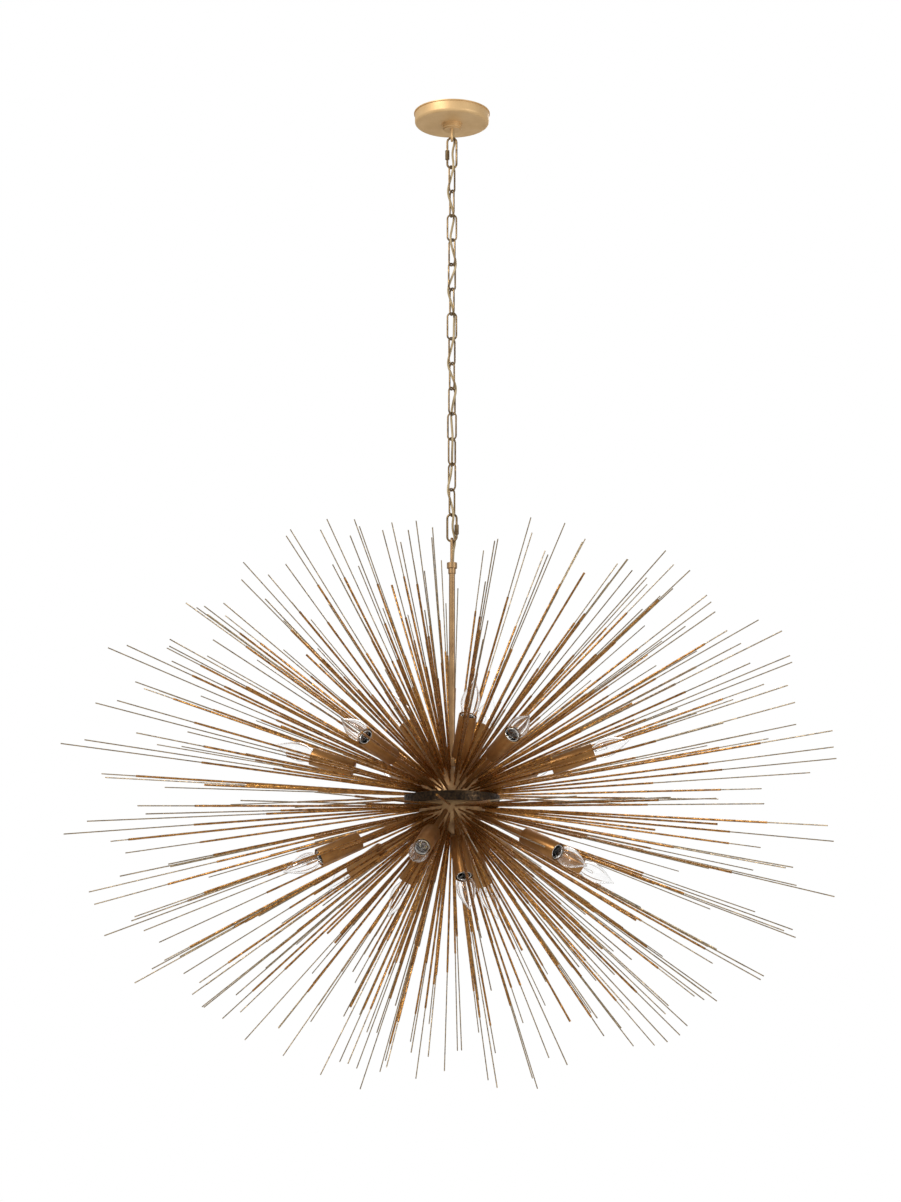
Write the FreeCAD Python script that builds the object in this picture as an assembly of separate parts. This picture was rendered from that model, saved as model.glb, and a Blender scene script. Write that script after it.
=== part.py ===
import FreeCAD, Part
import math
import os

# Sputnik chandelier in millimetres, +Z up. The origin is where the fixture's mounting strap meets
# the ceiling, and everything hangs below it. +X is to the right of a viewer who looks along +Y.

# ---- the whole fixture ----
BURST_RADIUS = 645.0  # outline that the longest rods reach, level with the hub
BURST_HALF_HEIGHT = 472.0  # the same outline above and below the hub's centre
HANG_LENGTH = 1168.0  # ceiling down to the hub's centre

# ---- ceiling strap, nipple and hang loop ----
STRAP_LENGTH = 104.0
STRAP_WIDTH = 20.0
STRAP_THICKNESS = 2.0
SLOT_SPACING = 88.9  # between the slot centres, as on a round outlet box
SLOT_LENGTH = 10.0
SLOT_WIDTH = 4.8
THREAD_RADIUS = 4.9  # lamp thread, about M10
THREAD_PLAY = 0.1  # radial gap between a lamp thread and its nut
PIPE_BORE = 3.4
NIPPLE_HEIGHT_ABOVE_STRAP = 8.0
LOCK_NUT_FLATS = 14.0
LOCK_NUT_HEIGHT = 4.0
GROUND_SCREW_X = 22.0
GROUND_SHANK_RADIUS = 2.0
GROUND_SHANK_LENGTH = 8.0
GROUND_HEAD_RADIUS = 4.2
GROUND_HEAD_HEIGHT = 2.6
SCREW_PLAY = 0.15
LOOP_BODY_RADIUS = 14.0
LOOP_BODY_DEPTH = 12.0  # below the ceiling
LOOP_BODY_LENGTH = 18.0
LOOP_WIRE_RADIUS = 2.2
LOOP_BEND_RADIUS = 6.2  # centre line of the eye's round end

# ---- canopy and its ring ----
CANOPY_RADIUS = 62.5
CANOPY_DEPTH = 20.0
CANOPY_WALL = 1.2
CANOPY_EDGE_ROUND = 5.0
CANOPY_LIP = 1.6  # rolled lip against the ceiling
SLIDE_GAP = 0.4  # between the loop's body and what slides down over it
RING_RADIUS = 17.2
RING_STEP_RADIUS = 15.8
RING_HEIGHT = 8.0
RING_STEP_HEIGHT = 3.0

# ---- chain ----
FIRST_LINK_DEPTH = 46.0  # ceiling down to where the first link bears on the hang loop
LINK_WIRE_RADIUS = 1.5
LINK_HALF_WIDTH = 7.4  # centre of the link to the middle of its side wire
LINK_PITCH = 43.0
LINK_GAP = 0.3  # between two wires that bear on each other
QUICK_WIRE_RADIUS = 1.8
QUICK_HALF_WIDTH = 7.7
QUICK_TOP_PITCH = 50.0
QUICK_BOTTOM_PITCH = 42.0
SLEEVE_RADIUS = 3.7
SLEEVE_LENGTH = 16.0
SLEEVE_PLAY = 0.25
SLEEVE_OFFSET = 3.5  # sleeve nut's middle below the link's middle
SLEEVE_ROUNDING = 0.1  # how much the hex nut's corners are rounded off
QUICK_OPENING = 5.0  # gap in the side wire that the sleeve nut closes
# Turn of each link about the vertical, from the hang loop down: a chain never hangs quite square.
LINK_TURNS = [0, 52, -64, 0, -50, 43, -64, 0, 50, -60, 48, -25, 43, -43, 56, -8]
HANG_LOOP_TURN = 90.0
STEM_LOOP_TURN = 84.0

# ---- supply cord ----
CORD_RADIUS = 1.9
CORD_OFFSET = 8.0  # how far the cord stands off the chain's axis at each junction
CORD_EYE_OFFSET = 3.2  # the most that it passes a link's eye off the eye's middle
CORD_HEIGHT_ABOVE_STRAP = 12.0
CORD_BEND_DEPTH = 3.0  # hang loop's body down to the corner where the cord turns aside
CORD_STRAIGHT_LENGTH = 12.0  # straight cord above the coupling
CORD_WINDOW_OFFSET = 6.0  # window's ends to the cord's two corners

# ---- stem ----
STEM_TOP = 390.0  # coupling's top above the hub's centre
COUPLING_RADIUS = 6.2
COUPLING_LENGTH = 18.0
STEM_SEAT = 9.0  # length of stem inside the coupling
STEM_BELOW_HUB = 66.0
WINDOW_TOP = 46.0  # side window where the cord leaves the stem, above the hub's centre
WINDOW_BOTTOM = 20.0
WINDOW_WIDTH = 5.0
CORD_EXIT_TURN = 75.0

# ---- hub ----
HUB_RADIUS = 55.0
HUB_WALL = 1.5
FLANGE_RADIUS = 75.0
FLANGE_THICKNESS = 1.5
BAND_WALL = 1.5  # dark band round the two flange plates
BAND_HEIGHT = 15.0
FLANGE_SCREW_CIRCLE = 66.0
FLANGE_SCREW_COUNT = 6
FLANGE_SHANK_RADIUS = 1.9
FLANGE_HEAD_RADIUS = 3.6
FLANGE_HEAD_HEIGHT = 1.5
FLANGE_NUT_FLATS = 6.4
FLANGE_NUT_HEIGHT = 1.5
WASHER_RADIUS = 8.0
WASHER_THICKNESS = 1.2
STEM_NUT_FLATS = 13.0
STEM_NUT_HEIGHT = 5.0
CAP_NUT_RADIUS = 7.5
CAP_NUT_LENGTH = 13.0
SPLICE_RADIUS = 16.0
SPLICE_HEIGHT = 12.0
SEAT_GAP = 0.05  # between faces that bear on each other

# ---- lamps ----
LOW_LAMP_COUNT = 6
STEEP_LAMP_COUNT = 3
LOW_RIM = 240.0  # hub centre to the rim of a low cup
STEEP_RIM = 148.0
UPPER_LOW_TILT = 18.5
LOWER_LOW_TILT = 24.0
STEEP_TILT = 60.0
UPPER_LOW_TURN = -66.0  # turn of the first lamp of each ring about +Z, from +X
LOWER_LOW_TURN = -42.0
UPPER_STEEP_TURN = -70.0
LOWER_STEEP_TURN = -75.0
CUP_RADIUS = 14.5
CUP_WALL = 1.2
CUP_LENGTH = 72.0
CUP_BASE_WALL = 2.0
ARM_RADIUS = 4.0
ARM_BORE = 2.6
ARM_INSIDE_HUB = 6.0  # length of arm inside the hub's shell
ARM_INSIDE_CUP = 7.0
ARM_NUT_FLATS = 11.5
ARM_NUT_HEIGHT = 3.0
SOCKET_RADIUS = 12.9
SOCKET_LENGTH = 44.0
SOCKET_SET_BACK_DEPTH = 6.0  # rim of the cup to the socket's face
SOCKET_MOUTH_RADIUS = 9.6
SOCKET_MOUTH_DEPTH = 6.0
SOCKET_WELL_RADIUS = 7.2
SOCKET_WELL_DEPTH = 30.0
SHELL_WALL = 0.5
TRIM_RING_RADIUS = 11.6
TRIM_RING_BORE = 9.9
TRIM_RING_HEIGHT = 4.5
CONTACT_RADIUS = 2.5
CONTACT_HEIGHT = 0.8
LEAD_RADIUS = 1.3
CAP_RADIUS = 5.9
CAP_LENGTH = 18.0
CAP_TOP = -14.0  # glass starts here, measured along the lamp from the cup's rim
CAP_TIP_RADIUS = 2.0
CAP_TIP_LENGTH = 2.5
GLASS_WALL = 0.8
GLASS_NECK_RADIUS = 6.3
GLASS_SHOULDER_RADIUS = 12.0
GLASS_SHOULDER_AT = 8.0
GLASS_RADIUS = 15.3
GLASS_WIDEST_AT = 21.0
GLASS_TAPER_RADIUS = 12.2
GLASS_TAPER_AT = 36.0
GLASS_TIP_RADIUS = 1.0
GLASS_LOWER_RADIUS = 7.9  # points that the glass's three arcs pass through
GLASS_LOWER_AT = -2.0
GLASS_UPPER_RADIUS = 6.5
GLASS_UPPER_AT = 51.0
GLASS_TIP_AT = 62.0
MOUNT_RADIUS = 1.8
MOUNT_HEIGHT = 20.0
FILAMENT_WIRE_RADIUS = 0.35
FILAMENT_HEIGHT = 14.0
FILAMENT_HALF_WIDTH = 4.0
FILAMENT_SEAT = 1.0  # depth of a support wire in the glass mount

# ---- rods ----
ROD_RADIUS = 1.8  # gold rod that stands on the hub
TIP_RADIUS = 0.95  # finer wire that goes on from the end of a rod
ROD_CLEARANCE = 1.2  # between a rod and a lamp
# How far the rods' lines cross the axis from the hub's centre: the flattest, and the steepest.
LOW_FOCUS_HEIGHT = 8.0
STEEP_FOCUS_HEIGHT = 18.0
# Tilt of each ring of rods above or below the level, and how many rods it has.
ROD_RINGS = [
    (5.0, 30),
    (12.8, 31),
    (20.6, 30),
    (28.4, 28),
    (36.4, 26),
    (44.6, 23),
    (52.8, 19),
    (61.2, 15),
    (69.6, 11),
    (77.8, 6),
]
TILT_JITTER = 1.3  # degrees each way
TURN_JITTER = 0.2  # share of the space between two rods
TIPPED_SHARE = 0.9  # share of the rods that carry a tip
TIP_REACH = (0.87, 1.0)  # share of the way to the burst's outline where a tip ends
ROD_REACH = (0.42, 0.84)  # the same for the gold rods
GOLDEN_STEP = 0.6180339887
SILVER_STEP = 0.7548776662
BRONZE_STEP = 0.5698402910
LOWER_DRAW_START = 1000  # the lower rods' place in the same three sequences

UP = FreeCAD.Vector(0, 0, 1)
DOWN = FreeCAD.Vector(0, 0, -1)
HUB_CENTRE = FreeCAD.Vector(0, 0, -HANG_LENGTH)
LOOP_BODY_BOTTOM = LOOP_BODY_DEPTH + LOOP_BODY_LENGTH
NUT_BORE = THREAD_RADIUS + THREAD_PLAY


def cylinder(radius, height, start, direction=UP):
    return Part.makeCylinder(radius, height, start, direction)


def tube(outer, inner, height, start, direction=UP):
    return cylinder(outer, height, start, direction).cut(
        cylinder(inner, height, start, direction)
    )


def hex_prism(flats, height, start):
    corner = flats / math.sqrt(3.0)
    points = []
    for index in range(7):
        angle = math.radians(60.0 * index)
        points.append(start + FreeCAD.Vector(corner * math.cos(angle), corner * math.sin(angle), 0))
    return Part.Face(Part.makePolygon(points)).extrude(UP * height)


def hex_nut(flats, height, bore, start):
    return hex_prism(flats, height, start).cut(cylinder(bore, height, start))


def spun(edges):
    """Solid of a closed half profile in the XZ plane, turned about the Z axis."""
    face = Part.Face(Part.Wire(edges))
    return face.revolve(FreeCAD.Vector(0, 0, 0), UP, 360)


def line(start, end):
    first = FreeCAD.Vector(start[0], 0, start[1])
    last = FreeCAD.Vector(end[0], 0, end[1])
    return Part.LineSegment(first, last).toShape()


def arc(start, through, end):
    points = [FreeCAD.Vector(p[0], 0, p[1]) for p in (start, through, end)]
    return Part.Arc(*points).toShape()


def direction_at(turn, tilt):
    """Unit vector turned about +Z from +X, and tilted up from the level, in degrees."""
    level = math.cos(math.radians(tilt))
    return FreeCAD.Vector(
        level * math.cos(math.radians(turn)),
        level * math.sin(math.radians(turn)),
        math.sin(math.radians(tilt)),
    )


def swept_circle(path_edges, radius):
    """Round bar along joined straight runs and tangent arcs."""
    path = Part.Wire(path_edges)
    first = path_edges[0]
    start = first.valueAt(first.FirstParameter)
    tangent = first.tangentAt(first.FirstParameter)
    section = Part.Wire(Part.Circle(start, tangent, radius).toShape())
    return path.makePipeShell([section], True, True)


# ---- ceiling strap, nipple and hang loop ----


def ceiling_crossbar():
    bar = Part.makeBox(
        STRAP_LENGTH,
        STRAP_WIDTH,
        STRAP_THICKNESS,
        FreeCAD.Vector(-STRAP_LENGTH / 2, -STRAP_WIDTH / 2, -STRAP_THICKNESS),
    )
    below = FreeCAD.Vector(0, 0, -STRAP_THICKNESS)
    holes = [cylinder(NUT_BORE, STRAP_THICKNESS, below)]
    ground = FreeCAD.Vector(GROUND_SCREW_X, 0, -STRAP_THICKNESS)
    holes.append(cylinder(GROUND_SHANK_RADIUS + SCREW_PLAY, STRAP_THICKNESS, ground))
    straight = SLOT_LENGTH - SLOT_WIDTH
    for side in (-1, 1):
        middle = side * SLOT_SPACING / 2
        corner = FreeCAD.Vector(middle - straight / 2, -SLOT_WIDTH / 2, -STRAP_THICKNESS)
        holes.append(Part.makeBox(straight, SLOT_WIDTH, STRAP_THICKNESS, corner))
        for end in (-straight / 2, straight / 2):
            place = FreeCAD.Vector(middle + end, 0, -STRAP_THICKNESS)
            holes.append(cylinder(SLOT_WIDTH / 2, STRAP_THICKNESS, place))
    return bar.cut(holes).removeSplitter()


def nipple_end():
    """Depth below the ceiling where the nipple ends, inside the loop's body."""
    return LOOP_BODY_DEPTH + LOOP_BODY_LENGTH / 3


def crossbar_nipple():
    length = NIPPLE_HEIGHT_ABOVE_STRAP + nipple_end()
    return tube(THREAD_RADIUS, PIPE_BORE, length, FreeCAD.Vector(0, 0, -nipple_end()))


def nipple_nuts():
    upper = hex_nut(LOCK_NUT_FLATS, LOCK_NUT_HEIGHT, NUT_BORE, FreeCAD.Vector(0, 0, 0))
    below = FreeCAD.Vector(0, 0, -STRAP_THICKNESS - LOCK_NUT_HEIGHT)
    lower = hex_nut(LOCK_NUT_FLATS, LOCK_NUT_HEIGHT, NUT_BORE, below)
    return Part.makeCompound([upper, lower])


def ground_screw():
    head_bottom = -STRAP_THICKNESS - GROUND_HEAD_HEIGHT
    start = FreeCAD.Vector(GROUND_SCREW_X, 0, head_bottom)
    head = cylinder(GROUND_HEAD_RADIUS, GROUND_HEAD_HEIGHT, start)
    slot = Part.makeBox(
        2 * GROUND_HEAD_RADIUS,
        GROUND_HEAD_HEIGHT / 3,
        GROUND_HEAD_HEIGHT / 3,
        start - FreeCAD.Vector(GROUND_HEAD_RADIUS, GROUND_HEAD_HEIGHT / 6, 0),
    )
    start = FreeCAD.Vector(GROUND_SCREW_X, 0, -STRAP_THICKNESS)
    shank = cylinder(GROUND_SHANK_RADIUS, GROUND_SHANK_LENGTH, start)
    return head.cut(slot).fuse(shank)


def eye(bend_level, foot_level, turn):
    """U-shaped eye of round bar in a vertical plane. Its legs run from foot_level to bend_level."""
    side = direction_at(turn, 0) * LOOP_BEND_RADIUS
    bend = FreeCAD.Vector(0, 0, bend_level)
    foot = FreeCAD.Vector(0, 0, foot_level)
    outward = UP if bend_level > foot_level else DOWN
    end = bend + outward * LOOP_BEND_RADIUS
    edges = [
        Part.LineSegment(foot + side, bend + side).toShape(),
        Part.Arc(bend + side, end, bend - side).toShape(),
        Part.LineSegment(bend - side, foot - side).toShape(),
    ]
    return swept_circle(edges, LOOP_WIRE_RADIUS)


def hang_loop():
    bottom = FreeCAD.Vector(0, 0, -LOOP_BODY_BOTTOM)
    body = cylinder(LOOP_BODY_RADIUS, LOOP_BODY_LENGTH, bottom)
    thread = cylinder(NUT_BORE, nipple_end() - LOOP_BODY_DEPTH, FreeCAD.Vector(0, 0, -nipple_end()))
    wire_way = cylinder(PIPE_BORE, LOOP_BODY_LENGTH, bottom)
    bearing = -FIRST_LINK_DEPTH - LINK_GAP / 2 - LOOP_WIRE_RADIUS
    bail = eye(bearing + LOOP_BEND_RADIUS, -LOOP_BODY_BOTTOM + LOOP_WIRE_RADIUS, HANG_LOOP_TURN)
    return body.fuse(bail).cut([thread, wire_way])


# ---- canopy ----


def canopy():
    inside = CANOPY_RADIUS - CANOPY_WALL
    hole = LOOP_BODY_RADIUS + SLIDE_GAP
    floor = -CANOPY_DEPTH
    outer_round = CANOPY_EDGE_ROUND
    inner_round = CANOPY_EDGE_ROUND - CANOPY_WALL
    middle_x = CANOPY_RADIUS - outer_round
    middle_z = floor + outer_round
    slope = math.sqrt(0.5)
    outer_corner = (middle_x + outer_round * slope, middle_z - outer_round * slope)
    inner_corner = (middle_x + inner_round * slope, middle_z - inner_round * slope)
    lip = CANOPY_RADIUS + CANOPY_LIP
    edges = [
        line((hole, floor), (middle_x, floor)),
        arc((middle_x, floor), outer_corner, (CANOPY_RADIUS, middle_z)),
        line((CANOPY_RADIUS, middle_z), (CANOPY_RADIUS, -CANOPY_LIP)),
        line((CANOPY_RADIUS, -CANOPY_LIP), (lip, -CANOPY_LIP)),
        line((lip, -CANOPY_LIP), (lip, 0)),
        line((lip, 0), (inside, 0)),
        line((inside, 0), (inside, middle_z)),
        arc((inside, middle_z), inner_corner, (middle_x, floor + CANOPY_WALL)),
        line((middle_x, floor + CANOPY_WALL), (hole, floor + CANOPY_WALL)),
        line((hole, floor + CANOPY_WALL), (hole, floor)),
    ]
    return spun(edges)


def collar_ring():
    bore = LOOP_BODY_RADIUS + SLIDE_GAP
    top = -CANOPY_DEPTH
    step = top - RING_STEP_HEIGHT
    bottom = top - RING_HEIGHT
    round_off = (RING_STEP_RADIUS - bore) / 2
    edges = [
        line((bore, top), (RING_RADIUS, top)),
        line((RING_RADIUS, top), (RING_RADIUS, step)),
        line((RING_RADIUS, step), (RING_STEP_RADIUS, step)),
        line((RING_STEP_RADIUS, step), (RING_STEP_RADIUS, bottom + round_off)),
        line((RING_STEP_RADIUS, bottom + round_off), (RING_STEP_RADIUS - round_off, bottom)),
        line((RING_STEP_RADIUS - round_off, bottom), (bore, bottom)),
        line((bore, bottom), (bore, top)),
    ]
    return spun(edges)


# ---- chain ----


def link_pitches():
    ordinary = len(LINK_TURNS) - 2
    return [QUICK_TOP_PITCH] + [LINK_PITCH] * ordinary + [QUICK_BOTTOM_PITCH]


def junction(index):
    """Height of the bearing point above link number index, counted from 0."""
    return -FIRST_LINK_DEPTH - sum(link_pitches()[:index])


def link_ends(index, wire_radius):
    """Levels of the wire's centre at the top and bottom of a link."""
    stand_off = wire_radius + LINK_GAP / 2
    return junction(index) + stand_off, junction(index + 1) - stand_off


def oval_edges(half_width, top, bottom, turn):
    """Centre line of an oval link in a vertical plane through the axis."""
    side = direction_at(turn, 0) * half_width
    upper = FreeCAD.Vector(0, 0, top - half_width)
    lower = FreeCAD.Vector(0, 0, bottom + half_width)
    return [
        Part.LineSegment(lower + side, upper + side).toShape(),
        Part.Arc(upper + side, FreeCAD.Vector(0, 0, top), upper - side).toShape(),
        Part.LineSegment(upper - side, lower - side).toShape(),
        Part.Arc(lower - side, FreeCAD.Vector(0, 0, bottom), lower + side).toShape(),
    ]


def oval_link(half_width, wire_radius, index):
    top, bottom = link_ends(index, wire_radius)
    return swept_circle(oval_edges(half_width, top, bottom, LINK_TURNS[index]), wire_radius)


def sleeve_middle(index):
    top, bottom = link_ends(index, QUICK_WIRE_RADIUS)
    return (top + bottom) / 2 - SLEEVE_OFFSET


def sleeve_side(index):
    """The sleeve nut is on the left of the top link and on the right of the bottom one."""
    side = -1 if index == 0 else 1
    return direction_at(LINK_TURNS[index], 0) * (side * QUICK_HALF_WIDTH)


def quick_link(index):
    """Oval link with a gap in one side that its sleeve nut closes."""
    ring = oval_link(QUICK_HALF_WIDTH, QUICK_WIRE_RADIUS, index)
    gap_middle = sleeve_middle(index) - SLEEVE_LENGTH / 2 + QUICK_OPENING / 2 + QUICK_WIRE_RADIUS
    start = sleeve_side(index) + FreeCAD.Vector(0, 0, gap_middle - QUICK_OPENING / 2)
    return ring.cut(cylinder(2 * QUICK_WIRE_RADIUS, QUICK_OPENING, start))


def sleeve_nut(index):
    start = sleeve_side(index) + FreeCAD.Vector(0, 0, sleeve_middle(index) - SLEEVE_LENGTH / 2)
    bore = QUICK_WIRE_RADIUS + SLEEVE_PLAY
    flats = 2 * SLEEVE_RADIUS * math.cos(math.radians(30))
    grip = hex_prism(flats, SLEEVE_LENGTH, start)
    rounding = cylinder(SLEEVE_RADIUS - SLEEVE_ROUNDING, SLEEVE_LENGTH, start)
    return grip.common(rounding).cut(cylinder(bore, SLEEVE_LENGTH, start))


# ---- supply cord ----


def wide_sector(first, second):
    """Direction midway in the wider of the two sectors that two vertical planes leave."""
    middle = (first + second) / 2
    spread = abs(first - second) % 180
    return middle if spread >= 90 else middle + 90


def eye_crossing(index, way):
    """Where the cord passes through a link's eye. A quick link's nut leaves it only the middle."""
    middle = FreeCAD.Vector(0, 0, (junction(index) + junction(index + 1)) / 2)
    if index in (0, len(LINK_TURNS) - 1):
        return middle
    along = direction_at(LINK_TURNS[index], 0)
    offset = CORD_OFFSET * way.dot(along) / 2
    return middle + along * min(CORD_EYE_OFFSET, max(-CORD_EYE_OFFSET, offset))


def weave_points():
    """Cord's route down the chain: out beside each junction, then through the next link's eye."""
    turns = [HANG_LOOP_TURN] + LINK_TURNS + [STEM_LOOP_TURN]
    points = []
    standing = direction_at(wide_sector(turns[0], turns[1]), 0)
    for index in range(len(LINK_TURNS)):
        points.append(standing * CORD_OFFSET + FreeCAD.Vector(0, 0, junction(index)))
        across = direction_at(turns[index + 1] + 90, 0)
        following = direction_at(wide_sector(turns[index + 1], turns[index + 2]), 0)
        if following.dot(across) * standing.dot(across) > 0:
            following = following * -1
        points.append(eye_crossing(index, standing + following))
        standing = following
    points.append(standing * CORD_OFFSET + FreeCAD.Vector(0, 0, junction(len(LINK_TURNS))))
    return points


def cord_points():
    splice = direction_at(CORD_EXIT_TURN, 0) * ((THREAD_RADIUS + SPLICE_RADIUS) / 2)
    points = [
        FreeCAD.Vector(0, 0, CORD_HEIGHT_ABOVE_STRAP),
        FreeCAD.Vector(0, 0, -LOOP_BODY_BOTTOM - CORD_BEND_DEPTH),
    ]
    points += weave_points()
    points += [
        HUB_CENTRE + FreeCAD.Vector(0, 0, STEM_TOP + CORD_STRAIGHT_LENGTH),
        HUB_CENTRE + FreeCAD.Vector(0, 0, WINDOW_TOP - CORD_WINDOW_OFFSET),
        HUB_CENTRE + splice + FreeCAD.Vector(0, 0, WINDOW_BOTTOM + CORD_WINDOW_OFFSET),
        HUB_CENTRE + splice + FreeCAD.Vector(0, 0, splice_top() + SEAT_GAP),
    ]
    return points


def rounded_path(points):
    """Straight runs joined by tangent arcs as large as the runs allow, and the least radius."""
    edges = []
    radii = []
    last = points[0]
    for index in range(1, len(points) - 1):
        before = points[index] - points[index - 1]
        after = points[index + 1] - points[index]
        half_turn = before.getAngle(after) / 2
        cut = 0.45 * min(before.Length, after.Length)
        radii.append(cut / math.tan(half_turn))
        before.normalize()
        after.normalize()
        start = points[index] - before * cut
        end = points[index] + after * cut
        inward = after - before
        inward.normalize()
        centre_distance = radii[-1] / math.cos(half_turn)
        middle = points[index] + inward * (centre_distance - radii[-1])
        edges.append(Part.LineSegment(last, start).toShape())
        edges.append(Part.Arc(start, middle, end).toShape())
        last = end
    edges.append(Part.LineSegment(last, points[-1]).toShape())
    return edges, min(radii)


def supply_cord():
    edges, tightest = rounded_path(cord_points())
    length = sum(edge.Length for edge in edges)
    cord = swept_circle(edges, CORD_RADIUS)
    expected = length * math.pi * CORD_RADIUS**2
    print("cord length", round(length, 1), "tightest radius", round(tightest, 1))
    print("cord volume over section times length", round(cord.Volume / expected, 4))
    return cord


# ---- stem and hub ----


def stem_loop():
    """Coupling on the stem's top, with the eye that the last link holds."""
    top = HUB_CENTRE + FreeCAD.Vector(0, 0, STEM_TOP)
    start = top - FreeCAD.Vector(0, 0, COUPLING_LENGTH)
    bearing = junction(len(LINK_TURNS)) + LINK_GAP / 2 + LOOP_WIRE_RADIUS
    inside_coupling = -HANG_LENGTH + STEM_TOP - COUPLING_LENGTH / 3
    bail = eye(bearing - LOOP_BEND_RADIUS, inside_coupling, STEM_LOOP_TURN)
    coupling_reach = LOOP_BEND_RADIUS + LOOP_WIRE_RADIUS
    body = cylinder(COUPLING_RADIUS, COUPLING_LENGTH, start)
    middle = top - FreeCAD.Vector(0, 0, COUPLING_LENGTH / 2)
    shoulder = cylinder(coupling_reach, COUPLING_LENGTH / 2, middle)
    seat = cylinder(NUT_BORE, STEM_SEAT, start)
    wire_way = cylinder(PIPE_BORE, COUPLING_LENGTH, start)
    return body.fuse([shoulder, bail]).cut([seat, wire_way])


def stem_tube():
    top = STEM_TOP - COUPLING_LENGTH + STEM_SEAT
    start = HUB_CENTRE - FreeCAD.Vector(0, 0, STEM_BELOW_HUB)
    pipe = tube(THREAD_RADIUS, PIPE_BORE, top + STEM_BELOW_HUB, start)
    window = Part.makeBox(
        2 * THREAD_RADIUS,
        WINDOW_WIDTH,
        WINDOW_TOP - WINDOW_BOTTOM,
        FreeCAD.Vector(0, -WINDOW_WIDTH / 2, WINDOW_BOTTOM),
    )
    window.rotate(FreeCAD.Vector(0, 0, 0), UP, CORD_EXIT_TURN)
    window.translate(HUB_CENTRE)
    return pipe.cut(window)


def stem_nuts():
    """Washer and nut on the stem at the hub's top, and a washer at its bottom."""
    pole = HUB_RADIUS + SEAT_GAP
    pieces = []
    washer_start = HUB_CENTRE + FreeCAD.Vector(0, 0, pole)
    pieces.append(tube(WASHER_RADIUS, NUT_BORE, WASHER_THICKNESS, washer_start))
    nut_start = washer_start + FreeCAD.Vector(0, 0, WASHER_THICKNESS)
    pieces.append(hex_nut(STEM_NUT_FLATS, STEM_NUT_HEIGHT, NUT_BORE, nut_start))
    lower_start = HUB_CENTRE - FreeCAD.Vector(0, 0, pole + WASHER_THICKNESS)
    pieces.append(tube(WASHER_RADIUS, NUT_BORE, WASHER_THICKNESS, lower_start))
    return Part.makeCompound(pieces)


def bottom_cap_nut():
    """Domed nut that closes the stem under the hub."""
    top = -HUB_RADIUS - SEAT_GAP - WASHER_THICKNESS
    neck = top - CAP_NUT_LENGTH + CAP_NUT_RADIUS
    slope = math.sqrt(0.5)
    edges = [
        line((0, top), (CAP_NUT_RADIUS, top)),
        line((CAP_NUT_RADIUS, top), (CAP_NUT_RADIUS, neck)),
        arc(
            (CAP_NUT_RADIUS, neck),
            (CAP_NUT_RADIUS * slope, neck - CAP_NUT_RADIUS * slope),
            (0, neck - CAP_NUT_RADIUS),
        ),
        line((0, neck - CAP_NUT_RADIUS), (0, top)),
    ]
    nut = spun(edges)
    thread_top = FreeCAD.Vector(0, 0, top)
    thread_depth = top + STEM_BELOW_HUB + SEAT_GAP
    nut = nut.cut(cylinder(NUT_BORE, thread_depth, thread_top, DOWN))
    nut.translate(HUB_CENTRE)
    return nut


def hub_shell(side):
    """Spun half of the hub, above (side 1) or below (side -1) its flange plate."""
    centre = FreeCAD.Vector(0, 0, 0)
    ball = Part.makeSphere(HUB_RADIUS).cut(Part.makeSphere(HUB_RADIUS - HUB_WALL))
    reach = 2 * HUB_RADIUS
    low = FLANGE_THICKNESS if side > 0 else -FLANGE_THICKNESS - reach
    keep = Part.makeBox(2 * reach, 2 * reach, reach, FreeCAD.Vector(-reach, -reach, low))
    shell = ball.common(keep)
    holes = [cylinder(NUT_BORE, 2 * HUB_RADIUS, centre, UP * side)]
    for turn, tilt, rim in lamps(side):
        along = direction_at(turn, tilt)
        holes.append(cylinder(ARM_RADIUS + THREAD_PLAY, 2 * HUB_RADIUS, centre, along))
    shell = shell.cut(holes)
    shell.translate(HUB_CENTRE)
    return shell


def flange_screw_places():
    places = []
    for index in range(FLANGE_SCREW_COUNT):
        turn = 360.0 / FLANGE_SCREW_COUNT * index
        places.append(HUB_CENTRE + direction_at(turn, 0) * FLANGE_SCREW_CIRCLE)
    return places


def flange_plate(side):
    """Dark disc on the open side of a hub half. The two discs are screwed face to face."""
    level = 0 if side > 0 else -FLANGE_THICKNESS
    start = HUB_CENTRE + FreeCAD.Vector(0, 0, level)
    plate = cylinder(FLANGE_RADIUS, FLANGE_THICKNESS, start)
    holes = [cylinder(NUT_BORE, FLANGE_THICKNESS, start)]
    for place in flange_screw_places():
        foot = place + FreeCAD.Vector(0, 0, level)
        holes.append(cylinder(FLANGE_SHANK_RADIUS + SCREW_PLAY, FLANGE_THICKNESS, foot))
    return plate.cut(holes)


def equator_band():
    """Dark band that hides the rims of both flange plates."""
    start = HUB_CENTRE - FreeCAD.Vector(0, 0, BAND_HEIGHT / 2)
    return tube(FLANGE_RADIUS + BAND_WALL, FLANGE_RADIUS + SEAT_GAP, BAND_HEIGHT, start)


def flange_screws():
    screws = []
    for place in flange_screw_places():
        head_top = place - FreeCAD.Vector(0, 0, FLANGE_THICKNESS)
        head = cylinder(FLANGE_HEAD_RADIUS, FLANGE_HEAD_HEIGHT, head_top, DOWN)
        shank = cylinder(FLANGE_SHANK_RADIUS, 2 * FLANGE_THICKNESS + FLANGE_NUT_HEIGHT, head_top)
        screws.append(head.fuse(shank))
    return Part.makeCompound(screws)


def flange_nuts():
    nuts = []
    for place in flange_screw_places():
        start = place + FreeCAD.Vector(0, 0, FLANGE_THICKNESS)
        bore = FLANGE_SHANK_RADIUS + SCREW_PLAY
        nuts.append(hex_nut(FLANGE_NUT_FLATS, FLANGE_NUT_HEIGHT, bore, start))
    return Part.makeCompound(nuts)


def splice_top():
    return FLANGE_THICKNESS + SEAT_GAP + SPLICE_HEIGHT


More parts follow.
